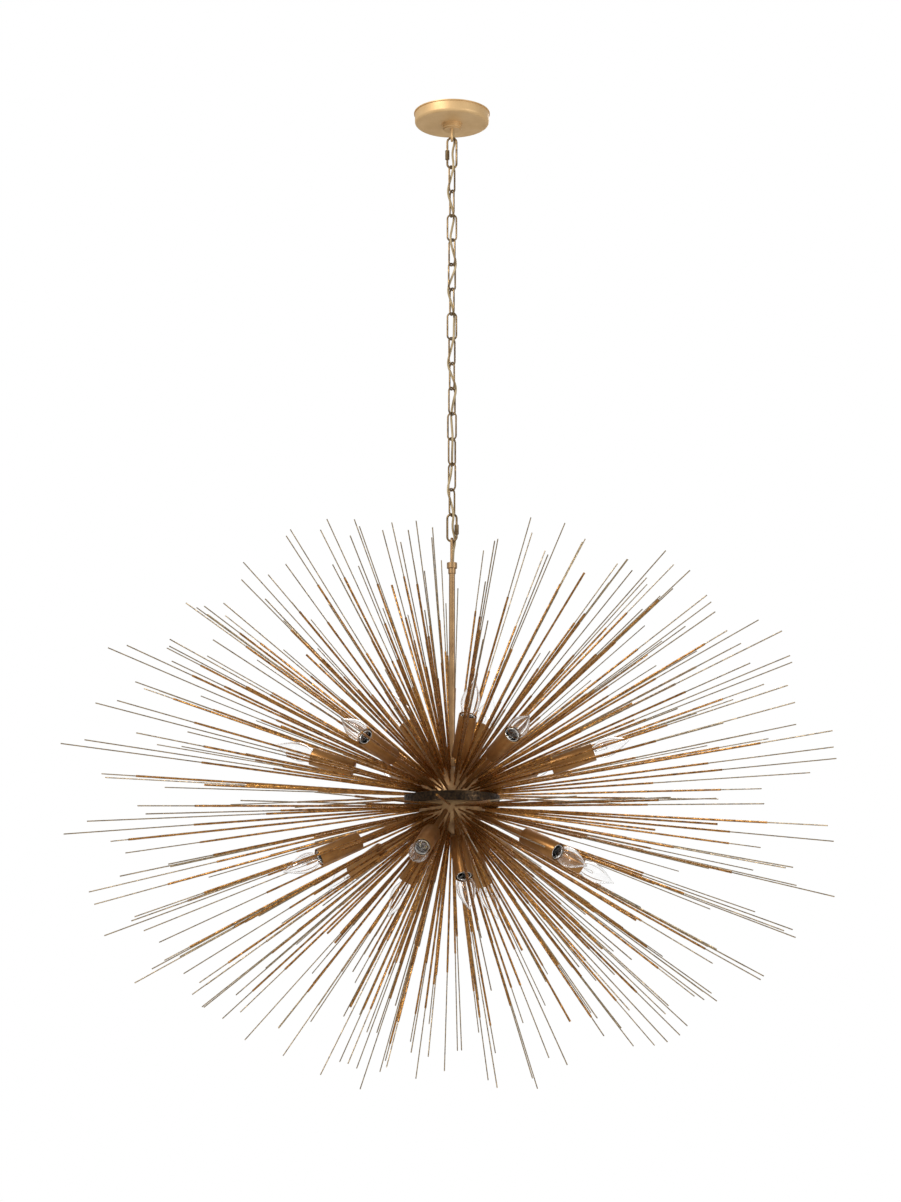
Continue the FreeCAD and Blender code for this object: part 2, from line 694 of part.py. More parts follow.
def splice_block(side):
    """Ring-shaped terminal block round the stem, where the lamps' leads meet."""
    level = FLANGE_THICKNESS + SEAT_GAP if side > 0 else -splice_top()
    start = HUB_CENTRE + FreeCAD.Vector(0, 0, level)
    return tube(SPLICE_RADIUS, NUT_BORE, SPLICE_HEIGHT, start)


# ---- lamps ----


def lamps(side):
    """Turn, tilt and rim distance of each lamp in the upper (1) or lower (-1) half."""
    low_turn = UPPER_LOW_TURN if side > 0 else LOWER_LOW_TURN
    low_tilt = UPPER_LOW_TILT if side > 0 else LOWER_LOW_TILT
    steep_turn = UPPER_STEEP_TURN if side > 0 else LOWER_STEEP_TURN
    found = []
    for index in range(LOW_LAMP_COUNT):
        found.append((low_turn + 360.0 / LOW_LAMP_COUNT * index, side * low_tilt, LOW_RIM))
    for index in range(STEEP_LAMP_COUNT):
        found.append((steep_turn + 360.0 / STEEP_LAMP_COUNT * index, side * STEEP_TILT, STEEP_RIM))
    return found


def placed(shape, turn, tilt, distance):
    """Copy of a shape drawn along +Z from the origin, set on a lamp's axis."""
    direction = direction_at(turn, tilt)
    copy = shape.copy()
    rotation = FreeCAD.Rotation(UP, direction)
    copy.Placement = FreeCAD.Placement(HUB_CENTRE + direction * distance, rotation)
    return copy


def at_rims(shape, sides=(1, -1)):
    """One copy of a shape for each lamp. The shape is drawn with the cup's rim at the origin."""
    copies = []
    for side in sides:
        copies += [placed(shape, turn, tilt, rim) for turn, tilt, rim in lamps(side)]
    return Part.makeCompound(copies)


def lamp_arms(side):
    """Pipe from inside the hub's shell to inside the cup's base."""
    arms = []
    start = HUB_RADIUS - HUB_WALL - ARM_INSIDE_HUB
    for turn, tilt, rim in lamps(side):
        length = rim - CUP_LENGTH + ARM_INSIDE_CUP - start
        pipe = tube(ARM_RADIUS, ARM_BORE, length, FreeCAD.Vector(0, 0, 0))
        arms.append(placed(pipe, turn, tilt, start))
    return Part.makeCompound(arms)


def arm_nuts():
    """Hex nut on each arm inside the hub."""
    start = HUB_RADIUS - HUB_WALL - SEAT_GAP - ARM_NUT_HEIGHT - hub_sagitta()
    nut = hex_nut(ARM_NUT_FLATS, ARM_NUT_HEIGHT, ARM_RADIUS + THREAD_PLAY, FreeCAD.Vector(0, 0, 0))
    nuts = []
    for side in (1, -1):
        nuts += [placed(nut, turn, tilt, start) for turn, tilt, rim in lamps(side)]
    return Part.makeCompound(nuts)


def hub_sagitta():
    """How far the shell's inner face falls away at a nut's corner."""
    inner = HUB_RADIUS - HUB_WALL
    corner = ARM_NUT_FLATS / math.sqrt(3.0)
    return inner - math.sqrt(inner**2 - corner**2)


def socket_cup():
    inside = CUP_RADIUS - CUP_WALL
    start = FreeCAD.Vector(0, 0, -CUP_LENGTH)
    wall = cylinder(CUP_RADIUS, CUP_LENGTH, start)
    hollow = cylinder(inside, CUP_LENGTH, start + FreeCAD.Vector(0, 0, CUP_BASE_WALL))
    arm_hole = cylinder(ARM_RADIUS + THREAD_PLAY, CUP_LENGTH, start)
    return wall.cut([hollow, arm_hole])


def cup_nut():
    start = FreeCAD.Vector(0, 0, -CUP_LENGTH + CUP_BASE_WALL)
    return hex_nut(ARM_NUT_FLATS, ARM_NUT_HEIGHT, ARM_RADIUS + THREAD_PLAY, start)


def socket_back():
    return -SOCKET_SET_BACK_DEPTH - SOCKET_LENGTH


def socket_body():
    """Moulded lampholder that the arm's end carries, with a well for the screw shell."""
    face = -SOCKET_SET_BACK_DEPTH
    body = cylinder(SOCKET_RADIUS, SOCKET_LENGTH, FreeCAD.Vector(0, 0, socket_back()))
    neck_length = socket_back() + CUP_LENGTH - ARM_INSIDE_CUP - SEAT_GAP
    neck = cylinder(ARM_RADIUS, neck_length, FreeCAD.Vector(0, 0, socket_back()), DOWN)
    lead_way = cylinder(ARM_BORE, neck_length, FreeCAD.Vector(0, 0, socket_back()), DOWN)
    mouth = cylinder(SOCKET_MOUTH_RADIUS, SOCKET_MOUTH_DEPTH, FreeCAD.Vector(0, 0, face), DOWN)
    well = cylinder(SOCKET_WELL_RADIUS, SOCKET_WELL_DEPTH, FreeCAD.Vector(0, 0, face), DOWN)
    return body.fuse(neck).cut([mouth, well, lead_way])


def well_floor():
    return -SOCKET_SET_BACK_DEPTH - SOCKET_WELL_DEPTH


def socket_shell():
    outer = SOCKET_WELL_RADIUS - SEAT_GAP
    height = SOCKET_WELL_DEPTH - SOCKET_MOUTH_DEPTH
    return tube(outer, outer - SHELL_WALL, height, FreeCAD.Vector(0, 0, well_floor()))


def socket_contact():
    return cylinder(CONTACT_RADIUS, CONTACT_HEIGHT, FreeCAD.Vector(0, 0, well_floor()))


def trim_ring():
    start = FreeCAD.Vector(0, 0, -SOCKET_SET_BACK_DEPTH)
    return tube(TRIM_RING_RADIUS, TRIM_RING_BORE, TRIM_RING_HEIGHT, start)


def bulb_cap():
    """Screw cap of the bulb with its tip contact."""
    bottom = CAP_TOP - CAP_LENGTH
    barrel = cylinder(CAP_RADIUS, CAP_LENGTH, FreeCAD.Vector(0, 0, bottom))
    tip = cylinder(CAP_TIP_RADIUS, CAP_TIP_LENGTH, FreeCAD.Vector(0, 0, bottom), DOWN)
    return barrel.fuse(tip)


def glass_edges(wall):
    """Half outline of the bulb's glass, wall deep inside its outer face, from neck to tip."""
    neck = (GLASS_NECK_RADIUS - wall, CAP_TOP + wall)
    lower = (GLASS_LOWER_RADIUS - wall, GLASS_LOWER_AT)
    shoulder = (GLASS_SHOULDER_RADIUS - wall, GLASS_SHOULDER_AT)
    widest = (GLASS_RADIUS - wall, GLASS_WIDEST_AT)
    taper = (GLASS_TAPER_RADIUS - wall, GLASS_TAPER_AT)
    upper = (GLASS_UPPER_RADIUS - wall, GLASS_UPPER_AT)
    tip = (GLASS_TIP_RADIUS, GLASS_TIP_AT - wall)
    return [
        line((0, neck[1]), neck),
        arc(neck, lower, shoulder),
        arc(shoulder, widest, taper),
        arc(taper, upper, tip),
        line(tip, (0, tip[1])),
        line((0, tip[1]), (0, neck[1])),
    ]


def bulb_glass():
    return spun(glass_edges(0)).cut(spun(glass_edges(GLASS_WALL)))


def bulb_filament():
    """Glass mount with two support wires and the filament between them."""
    foot = CAP_TOP + GLASS_WALL
    mount = cylinder(MOUNT_RADIUS, MOUNT_HEIGHT, FreeCAD.Vector(0, 0, foot))
    pieces = []
    top = foot + MOUNT_HEIGHT
    for side in (-1, 1):
        foot_point = FreeCAD.Vector(side * MOUNT_RADIUS / 2, 0, top - FILAMENT_SEAT)
        tip_point = FreeCAD.Vector(side * FILAMENT_HALF_WIDTH, 0, top + FILAMENT_HEIGHT)
        way = tip_point - foot_point
        pieces.append(cylinder(FILAMENT_WIRE_RADIUS, way.Length, foot_point, way))
    start = FreeCAD.Vector(-FILAMENT_HALF_WIDTH, 0, top + FILAMENT_HEIGHT)
    across = FreeCAD.Vector(1, 0, 0)
    pieces.append(cylinder(FILAMENT_WIRE_RADIUS, 2 * FILAMENT_HALF_WIDTH, start, across))
    return mount.fuse(pieces)


def lamp_leads():
    """Twin lead from a splice block, through each arm, to the lampholder's well."""
    leads = []
    for side in (1, -1):
        for turn, tilt, rim in lamps(side):
            steepness = math.radians(abs(tilt))
            leave = min(SPLICE_RADIUS / math.cos(steepness), splice_top() / math.sin(steepness))
            start = leave + LEAD_RADIUS
            length = rim + socket_back() - SEAT_GAP - start
            lead = cylinder(LEAD_RADIUS, length, FreeCAD.Vector(0, 0, 0))
            leads.append(placed(lead, turn, tilt, start))
    return Part.makeCompound(leads)


# ---- rods ----


def spread(index, step):
    """Even but unordered numbers from -1 to 1."""
    return 2.0 * ((index * step) % 1.0) - 1.0


def between(limits, share):
    return limits[0] + (limits[1] - limits[0]) * share


def segment_distance(start_a, end_a, start_b, end_b):
    """Least distance between two straight segments."""
    along_a = end_a - start_a
    along_b = end_b - start_b
    between = start_a - start_b
    aa = along_a.dot(along_a)
    bb = along_b.dot(along_b)
    ab = along_a.dot(along_b)
    a_between = along_a.dot(between)
    b_between = along_b.dot(between)
    spread_out = aa * bb - ab * ab
    share_a = 0.0
    if spread_out > 1e-9:
        share_a = min(1.0, max(0.0, (ab * b_between - bb * a_between) / spread_out))
    share_b = (ab * share_a + b_between) / bb
    if share_b < 0.0:
        share_b = 0.0
        share_a = min(1.0, max(0.0, -a_between / aa))
    elif share_b > 1.0:
        share_b = 1.0
        share_a = min(1.0, max(0.0, (ab - a_between) / aa))
    nearest_a = start_a + along_a * share_a
    nearest_b = start_b + along_b * share_b
    return (nearest_a - nearest_b).Length


def rod_line(turn, tilt, reaches):
    """Foot of a rod on the hub, from the hub's centre, and the points on its line at some reaches."""
    side = 1 if tilt > 0 else -1
    steep = math.sin(math.radians(tilt))
    focus_height = between((LOW_FOCUS_HEIGHT, STEEP_FOCUS_HEIGHT), steep**2)
    focus = FreeCAD.Vector(0, 0, side * focus_height)
    direction = direction_at(turn, tilt)
    on_line = focus.dot(direction)
    square = math.sqrt(on_line**2 - focus.dot(focus) + HUB_RADIUS**2)
    foot = focus + direction * (square - on_line)
    lean = foot.getAngle(direction)
    foot = foot + direction * (ROD_RADIUS * math.tan(lean) + SEAT_GAP)
    flat = direction.x**2 / BURST_RADIUS**2 + direction.y**2 / BURST_RADIUS**2
    bend = flat + direction.z**2 / BURST_HALF_HEIGHT**2
    slant = focus.z * direction.z / BURST_HALF_HEIGHT**2
    rest = focus.z**2 / BURST_HALF_HEIGHT**2 - 1.0
    outline = (-slant + math.sqrt(slant**2 - bend * rest)) / bend
    return foot, [focus + direction * (outline * reach) for reach in reaches]


def stem_segments(side):
    """Nuts and stem outside the hub's pole, in the same form as the lamps."""
    pole = UP * (side * HUB_RADIUS)
    nut_end = UP * (side * (HUB_RADIUS + WASHER_THICKNESS + CAP_NUT_LENGTH))
    segments = [(pole, nut_end, WASHER_RADIUS)]
    if side > 0:
        segments.append((nut_end, UP * STEM_TOP, COUPLING_RADIUS))
    return segments


def lamp_segments(side):
    """Each lamp's arm, cup and bulb as a line with the radius that rods stay off."""
    segments = []
    for turn, tilt, rim in lamps(side):
        way = direction_at(turn, tilt)
        cup_start = rim - CUP_LENGTH
        segments.append((way * HUB_RADIUS, way * cup_start, ARM_RADIUS))
        segments.append((way * cup_start, way * rim, CUP_RADIUS))
        bulb_start = way * (rim + GLASS_SHOULDER_AT)
        bulb_end = way * (rim + GLASS_TAPER_AT)
        segments.append((bulb_start, bulb_end, GLASS_RADIUS))
        segments.append((bulb_end, way * (rim + GLASS_TIP_AT), GLASS_TAPER_RADIUS / 2))
    return segments + stem_segments(side)


def stands_clear(foot, tip, segments):
    for start, end, radius in segments:
        needed = radius + ROD_RADIUS + ROD_CLEARANCE
        if segment_distance(foot, tip, start, end) < needed:
            return False
    return True


def rod_places(side):
    """Foot, end and tip of each rod of one half. A rod that would meet a lamp is left out."""
    places = []
    segments = lamp_segments(side)
    index = 0 if side > 0 else LOWER_DRAW_START
    for ring, (ring_tilt, count) in enumerate(ROD_RINGS):
        step = 360.0 / count
        for place in range(count):
            index += 1
            jitter = step * TURN_JITTER * spread(index, BRONZE_STEP)
            turn = step * (place + 0.5 * (ring % 2)) + jitter
            tilt = side * (ring_tilt + TILT_JITTER * spread(index, SILVER_STEP))
            end_reach = between(ROD_REACH, (index * GOLDEN_STEP) % 1.0)
            tip_reach = between(TIP_REACH, (index * SILVER_STEP) % 1.0)
            foot, (end, tip) = rod_line(turn, tilt, (end_reach, tip_reach))
            tipped = (index * BRONZE_STEP) % 1.0 < TIPPED_SHARE
            if stands_clear(foot, tip if tipped else end, segments):
                places.append((foot, end, tip if tipped else None))
    return places


def rods(side):
    """Gold rods of one half of the hub."""
    made = []
    for foot, end, tip in rod_places(side):
        way = end - foot
        made.append(cylinder(ROD_RADIUS, way.Length, HUB_CENTRE + foot, way))
    print("rods in half", side, len(made))
    return Part.makeCompound(made)


def rod_tips(side):
    """Fine wires of one half, each from just past the end of its gold rod."""
    made = []
    for foot, end, tip in rod_places(side):
        if tip is None:
            continue
        way = tip - end
        way.normalize()
        length = (tip - end).Length - SEAT_GAP
        made.append(cylinder(TIP_RADIUS, length, HUB_CENTRE + end + way * SEAT_GAP, way))
    return Part.makeCompound(made)


# ---- every node ----


def build_nodes():
    nodes = {
        "ceiling_crossbar": ceiling_crossbar(),
        "crossbar_nipple": crossbar_nipple(),
        "nipple_nuts": nipple_nuts(),
        "ground_screw": ground_screw(),
        "hang_loop": hang_loop(),
        "canopy": canopy(),
        "collar_ring": collar_ring(),
        "supply_cord": supply_cord(),
        "stem_loop": stem_loop(),
        "stem_tube": stem_tube(),
        "stem_nuts": stem_nuts(),
        "bottom_cap_nut": bottom_cap_nut(),
        "equator_band": equator_band(),
        "flange_screws": flange_screws(),
        "flange_nuts": flange_nuts(),
        "arm_nuts": arm_nuts(),
        "cup_nuts": at_rims(cup_nut()),
        "socket_bodies": at_rims(socket_body()),
        "socket_shells": at_rims(socket_shell()),
        "socket_contacts": at_rims(socket_contact()),
        "trim_rings": at_rims(trim_ring()),
        "bulb_caps": at_rims(bulb_cap()),
        "bulb_glass": at_rims(bulb_glass()),
        "bulb_filaments": at_rims(bulb_filament()),
        "lamp_leads": lamp_leads(),
    }
    last = len(LINK_TURNS) - 1
    nodes["quick_link_top"] = quick_link(0)
    nodes["quick_link_top_nut"] = sleeve_nut(0)
    for index in range(1, last):
        nodes[f"chain_link_{index:02d}"] = oval_link(LINK_HALF_WIDTH, LINK_WIRE_RADIUS, index)
    nodes["quick_link_bottom"] = quick_link(last)
    nodes["quick_link_bottom_nut"] = sleeve_nut(last)
    for side, name in ((1, "upper"), (-1, "lower")):
        nodes[f"{name}_hub_shell"] = hub_shell(side)
        nodes[f"{name}_flange_plate"] = flange_plate(side)
        nodes[f"{name}_splice_block"] = splice_block(side)
        nodes[f"{name}_lamp_arms"] = lamp_arms(side)
        nodes[f"{name}_socket_cups"] = at_rims(socket_cup(), (side,))
        nodes[f"{name}_rods"] = rods(side)
        nodes[f"{name}_rod_tips"] = rod_tips(side)
    return nodes


def main():
    os.makedirs("parts", exist_ok=True)
    nodes = build_nodes()
    for name, shape in nodes.items():
        shape.exportStep(f"parts/{name}.step")
        state = "valid" if shape.isValid() else "NOT VALID"
        print(name, len(shape.Solids), "solids", round(shape.Volume), state)
    print(len(nodes), "nodes")


main()
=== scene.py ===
import math
import random

import bpy
import numpy as np
from mathutils import Matrix, Vector


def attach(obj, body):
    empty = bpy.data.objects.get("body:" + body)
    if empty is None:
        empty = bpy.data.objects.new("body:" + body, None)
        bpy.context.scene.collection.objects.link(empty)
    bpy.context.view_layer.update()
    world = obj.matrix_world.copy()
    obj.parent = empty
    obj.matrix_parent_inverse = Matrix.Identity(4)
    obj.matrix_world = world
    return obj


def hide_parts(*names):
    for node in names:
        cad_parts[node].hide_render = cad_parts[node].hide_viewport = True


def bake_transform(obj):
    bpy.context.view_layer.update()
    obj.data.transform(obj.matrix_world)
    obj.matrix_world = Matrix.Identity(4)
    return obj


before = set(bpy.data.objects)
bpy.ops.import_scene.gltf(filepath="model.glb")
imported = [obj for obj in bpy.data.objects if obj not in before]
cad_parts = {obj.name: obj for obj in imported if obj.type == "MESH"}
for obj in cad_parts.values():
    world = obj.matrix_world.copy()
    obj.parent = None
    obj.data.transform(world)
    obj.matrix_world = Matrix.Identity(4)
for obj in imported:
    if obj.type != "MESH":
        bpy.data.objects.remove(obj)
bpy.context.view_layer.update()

MM = 0.001
HUB_CENTRE = Vector((0.0, 0.0, -1.168))


# ---- camera ----

CAMERA_PLACE = Vector((-0.0024, -4.137, -1.698))
CAMERA_PITCH = math.radians(11.7)
LONG_SIDE = 36.0  # of the sensor, in millimetres like the focal length
FOCAL_LENGTH = 77.9


def make_camera():
    data = bpy.data.cameras.new("camera")
    data.lens = FOCAL_LENGTH
    data.sensor_width = LONG_SIDE
    data.clip_start = 0.1
    data.clip_end = 200.0
    camera = bpy.data.objects.new("camera", data)
    camera.location = CAMERA_PLACE
    camera.rotation_euler = (math.pi / 2 + CAMERA_PITCH, 0.0, 0.0)
    bpy.context.scene.collection.objects.link(camera)
    bpy.context.scene.camera = camera


make_camera()


# ---- meshes ----


def mesh_piece(name, points, faces, material, smooth_angle=40.0):
    """New object in the CAD frame, shaded smooth but for its sharp edges."""
    mesh = bpy.data.meshes.new(name)
    mesh.from_pydata([tuple(p) for p in points], [], faces)
    mesh.update()
    mesh.shade_smooth()
    mesh.set_sharp_from_angle(angle=math.radians(smooth_angle))
    mesh.materials.append(material)
    piece = bpy.data.objects.new(name, mesh)
    bpy.context.scene.collection.objects.link(piece)
    return piece


def dress(piece, body, slot, *nodes):
    """The piece moves with a body and stands for some CAD nodes, which are hidden. The slot is not
    used.
    """
    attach(piece, body)
    if nodes:
        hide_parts(*nodes)
    return piece


def turned(outline, sides):
    """Points and faces of a closed outline of (radius, height) turned about +Z, in millimetres."""
    points = []
    for radius, height in outline:
        for k in range(sides):
            turn = 2 * math.pi * k / sides
            points.append(Vector((radius * math.cos(turn), radius * math.sin(turn), height)) * MM)
    faces = []
    rows = len(outline)
    for row in range(rows):
        following = (row + 1) % rows
        for k in range(sides):
            beside = (k + 1) % sides
            faces.append(
                (
                    row * sides + k,
                    row * sides + beside,
                    following * sides + beside,
                    following * sides + k,
                )
            )
    return points, faces


def lidded(outline, sides):
    """The same for an open outline from the bottom of the axis to its top."""
    points, faces = turned(outline, sides)
    faces = faces[: -sides]
    last = (len(outline) - 1) * sides
    faces.append(tuple(reversed(range(sides))))
    faces.append(tuple(last + k for k in range(sides)))
    return points, faces


def threaded(outer, depth, pitch, bottom, top, wall, sides=32, steps_per_turn=6):
    """Thin-walled screw shell with a rolled thread, in millimetres. wall 0 makes a closed plug."""
    points = []
    faces = []
    rows = int(round((top - bottom) / pitch * steps_per_turn)) + 1

    def row_of(inset):
        start = len(points)
        for row in range(rows):
            height = bottom + (top - bottom) * row / (rows - 1)
            for k in range(sides):
                turn = 2 * math.pi * k / sides
                wave = 0.5 + 0.5 * math.cos(2 * math.pi * height / pitch - turn)
                radius = outer - depth * wave - inset
                points.append(
                    Vector((radius * math.cos(turn), radius * math.sin(turn), height)) * MM
                )
        return start

    starts = [row_of(0.0)] if wall == 0 else [row_of(0.0), row_of(wall)]
    for which, start in enumerate(starts):
        for row in range(rows - 1):
            for k in range(sides):
                beside = (k + 1) % sides
                a = start + row * sides + k
                b = start + row * sides + beside
                quad = (a, b, b + sides, a + sides)
                faces.append(quad if which == 0 else tuple(reversed(quad)))
    if wall == 0:
        faces.append(tuple(reversed(range(sides))))
        faces.append(tuple((rows - 1) * sides + k for k in range(sides)))
    else:
        for row, flip in ((0, False), (rows - 1, True)):
            for k in range(sides):
                beside = (k + 1) % sides
                a = starts[0] + row * sides
                b = starts[1] + row * sides
                quad = (a + k, b + k, b + beside, a + beside)
                faces.append(tuple(reversed(quad)) if flip else quad)
    return points, faces


def swept(path, radius, sides=10):
    """Round wire along a list of points in metres, closed at both ends."""
    points = []
    faces = []
    side = None
    for place, point in enumerate(path):
        before = path[max(0, place - 1)]
        after = path[min(len(path) - 1, place + 1)]
        way = (after - before).normalized()
        if side is None:
            side = way.orthogonal().normalized()
        side = (side - way * side.dot(way)).normalized()
        up = way.cross(side)
        for k in range(sides):
            turn = 2 * math.pi * k / sides
            points.append(point + (side * math.cos(turn) + up * math.sin(turn)) * radius)
        if place:
            for k in range(sides):
                beside = (k + 1) % sides
                a = (place - 1) * sides
                faces.append((a + k, a + beside, a + sides + beside, a + sides + k))
    faces.append(tuple(reversed(range(sides))))
    faces.append(tuple((len(path) - 1) * sides + k for k in range(sides)))
    return points, faces


def gathered(parts):
    """One list of points and one of faces from several."""
    points = []
    faces = []
    for part_points, part_faces in parts:
        start = len(points)
        points += list(part_points)
        faces += [tuple(start + corner for corner in face) for face in part_faces]
    return points, faces


# ---- materials ----


def new_group(name, inputs, outputs):
    group = bpy.data.node_groups.new(name, "ShaderNodeTree")
    for label, kind, default in inputs:
        made = group.interface.new_socket(label, in_out="INPUT", socket_type=kind)
        made.default_value = default
    for label, kind in outputs:
        group.interface.new_socket(label, in_out="OUTPUT", socket_type=kind)
    given = group.nodes.new("NodeGroupInput")
    result = group.nodes.new("NodeGroupOutput")
    return group, given, result


def rubbed_tone_and_painted_shade_group():
    """Two tones and two gloss levels, mixed in soft patches and fine scratches. The tones are rubbed
    wear on most finishes, but on the rods, their tips and the dark band they are painted shade and
    painted glints.
    """
    group, given, result = new_group(
        "rubbed_tone_and_painted_shade",
        [
            ("Bright", "NodeSocketColor", (0.6, 0.4, 0.2, 1.0)),
            ("Dark", "NodeSocketColor", (0.2, 0.1, 0.05, 1.0)),
            ("Patch Scale", "NodeSocketFloat", 40.0),
            ("Grain Scale", "NodeSocketFloat", 600.0),
            ("Darkness", "NodeSocketFloat", 0.5),
            ("Gloss", "NodeSocketFloat", 0.3),
            ("Dullness", "NodeSocketFloat", 0.5),
        ],
        [
            ("Color", "NodeSocketColor"),
            ("Roughness", "NodeSocketFloat"),
            ("Mask", "NodeSocketFloat"),
        ],
    )
    nodes, links = group.nodes, group.links
    place = nodes.new("ShaderNodeTexCoord")
    patches = nodes.new("ShaderNodeTexNoise")
    patches.inputs["Detail"].default_value = 3.0
    links.new(place.outputs["Object"], patches.inputs["Vector"])
    links.new(given.outputs["Patch Scale"], patches.inputs["Scale"])
    grain = nodes.new("ShaderNodeTexNoise")
    grain.inputs["Detail"].default_value = 1.0
    links.new(place.outputs["Object"], grain.inputs["Vector"])
    links.new(given.outputs["Grain Scale"], grain.inputs["Scale"])
    both = nodes.new("ShaderNodeMath")
    both.operation = "MULTIPLY_ADD"
    both.inputs[1].default_value = 0.4
    links.new(grain.outputs["Fac"], both.inputs[0])
    links.new(patches.outputs["Fac"], both.inputs[2])
    spread = nodes.new("ShaderNodeMapRange")
    spread.inputs["From Min"].default_value = 0.52
    spread.inputs["From Max"].default_value = 0.88
    links.new(both.outputs["Value"], spread.inputs["Value"])
    links.new(given.outputs["Darkness"], spread.inputs["To Max"])
    tone = nodes.new("ShaderNodeMix")
    tone.data_type = "RGBA"
    links.new(spread.outputs["Result"], tone.inputs["Factor"])
    links.new(given.outputs["Bright"], tone.inputs["A"])
    links.new(given.outputs["Dark"], tone.inputs["B"])
    gloss = nodes.new("ShaderNodeMapRange")
    links.new(spread.outputs["Result"], gloss.inputs["Value"])
    links.new(given.outputs["Gloss"], gloss.inputs["To Min"])
    links.new(given.outputs["Dullness"], gloss.inputs["To Max"])
    links.new(tone.outputs["Result"], result.inputs["Color"])
    links.new(gloss.outputs["Result"], result.inputs["Roughness"])
    links.new(spread.outputs["Result"], result.inputs["Mask"])
    return group


def hammered_group():
    """Normal of a surface with small hammer marks or pores."""
    group, given, result = new_group(
        "hammered",
        [
            ("Scale", "NodeSocketFloat", 300.0),
            ("Strength", "NodeSocketFloat", 0.4),
            ("Depth", "NodeSocketFloat", 0.0003),
        ],
        [("Normal", "NodeSocketVector")],
    )
    nodes, links = group.nodes, group.links
    place = nodes.new("ShaderNodeTexCoord")
    marks = nodes.new("ShaderNodeTexNoise")
    marks.inputs["Detail"].default_value = 1.5
    links.new(place.outputs["Object"], marks.inputs["Vector"])
    links.new(given.outputs["Scale"], marks.inputs["Scale"])
    bump = nodes.new("ShaderNodeBump")
    links.new(marks.outputs["Fac"], bump.inputs["Height"])
    links.new(given.outputs["Strength"], bump.inputs["Strength"])
    links.new(given.outputs["Depth"], bump.inputs["Distance"])
    links.new(bump.outputs["Normal"], result.inputs["Normal"])
    return group


RUBBED_TONE_AND_PAINTED_SHADE = rubbed_tone_and_painted_shade_group()
HAMMERED = hammered_group()


def plain_material(name, color, roughness, metallic=0.0):
    material = bpy.data.materials.new(name)
    material.use_nodes = True
    shader = material.node_tree.nodes["Principled BSDF"]
    shader.inputs["Base Color"].default_value = (*color, 1.0)
    shader.inputs["Roughness"].default_value = roughness
    shader.inputs["Metallic"].default_value = metallic
    return material, shader


def finish_material(
    name,
    bright,
    dark,
    metallic,
    gloss,
    dullness,
    darkness=0.5,
    patch=40.0,
    grain=600.0,
    marks=300.0,
    strength=0.25,
    depth=0.0003,
):
    """Rubbed metal or paint: two tones, two gloss levels and small marks; on some finishes the dark
    tone is painted shade and the bright one painted glints.
    """
    material, shader = plain_material(name, bright, gloss, metallic)
    nodes, links = material.node_tree.nodes, material.node_tree.links
    tone = nodes.new("ShaderNodeGroup")
    tone.node_tree = RUBBED_TONE_AND_PAINTED_SHADE
    tone.inputs["Bright"].default_value = (*bright, 1.0)
    tone.inputs["Dark"].default_value = (*dark, 1.0)
    tone.inputs["Patch Scale"].default_value = patch
    tone.inputs["Grain Scale"].default_value = grain
    tone.inputs["Darkness"].default_value = darkness
    tone.inputs["Gloss"].default_value = gloss
    tone.inputs["Dullness"].default_value = dullness
    links.new(tone.outputs["Color"], shader.inputs["Base Color"])
    links.new(tone.outputs["Roughness"], shader.inputs["Roughness"])
    surface = nodes.new("ShaderNodeGroup")
    surface.node_tree = HAMMERED
    surface.inputs["Scale"].default_value = marks
    surface.inputs["Strength"].default_value = strength
    surface.inputs["Depth"].default_value = depth
    links.new(surface.outputs["Normal"], shader.inputs["Normal"])
    return material


def glass_material(name, roughness, ior):
    material, shader = plain_material(name, (1.0, 1.0, 1.0), roughness)
    shader.inputs["Transmission Weight"].default_value = 1.0
    shader.inputs["IOR"].default_value = ior
    return material


# The rods' dark tone is painted shade from deep among the rods and their bright tone is painted
# glints, mixed in random patches over the gilding.
rod_gold = finish_material(
    "rod_gold", (0.52, 0.25, 0.062), (0.08, 0.032, 0.011), 0.9, 0.22, 0.46,
    darkness=0.8, patch=150.0, grain=900.0, marks=420.0, strength=0.7, depth=0.0006,
)
# The tips are the same gilding as the rods, made paler and greyer as painted light: the bright
# backdrop's glare on the thin wires.
tip_wire = finish_material(
    "tip_wire", (0.46, 0.35, 0.21), (0.12, 0.095, 0.065), 0.85, 0.28, 0.5,
    darkness=0.8, patch=150.0, marks=500.0, strength=0.4,
)
canopy_gold = finish_material(
    "canopy_gold", (0.7, 0.47, 0.23), (0.52, 0.32, 0.13), 0.45, 0.5, 0.6,
    darkness=0.5, patch=30.0, marks=90.0, strength=0.12, depth=0.0004,
)
chain_gold = finish_material(
    "chain_gold", (0.3, 0.2, 0.095), (0.08, 0.05, 0.027), 0.85, 0.28, 0.45,
    darkness=0.8, patch=110.0, marks=300.0, strength=0.25,
)
hub_gold = finish_material(
    "hub_gold", (0.4, 0.25, 0.12), (0.2, 0.11, 0.048), 0.7, 0.38, 0.5,
    darkness=0.6, patch=30.0, marks=80.0, strength=0.1,
)
cup_gold = finish_material(
    "cup_gold", (0.38, 0.19, 0.06), (0.2, 0.09, 0.028), 0.8, 0.3, 0.45,
    darkness=0.6, patch=45.0, marks=160.0, strength=0.15,
)
# Dark bronze that is partly painted shade: the flange plates' undersides as they show from below.
dark_plate = finish_material(
    "dark_plate", (0.09, 0.05, 0.026), (0.025, 0.016, 0.011), 0.7, 0.35, 0.6,
    darkness=0.8, patch=60.0, marks=250.0, strength=0.3,
)
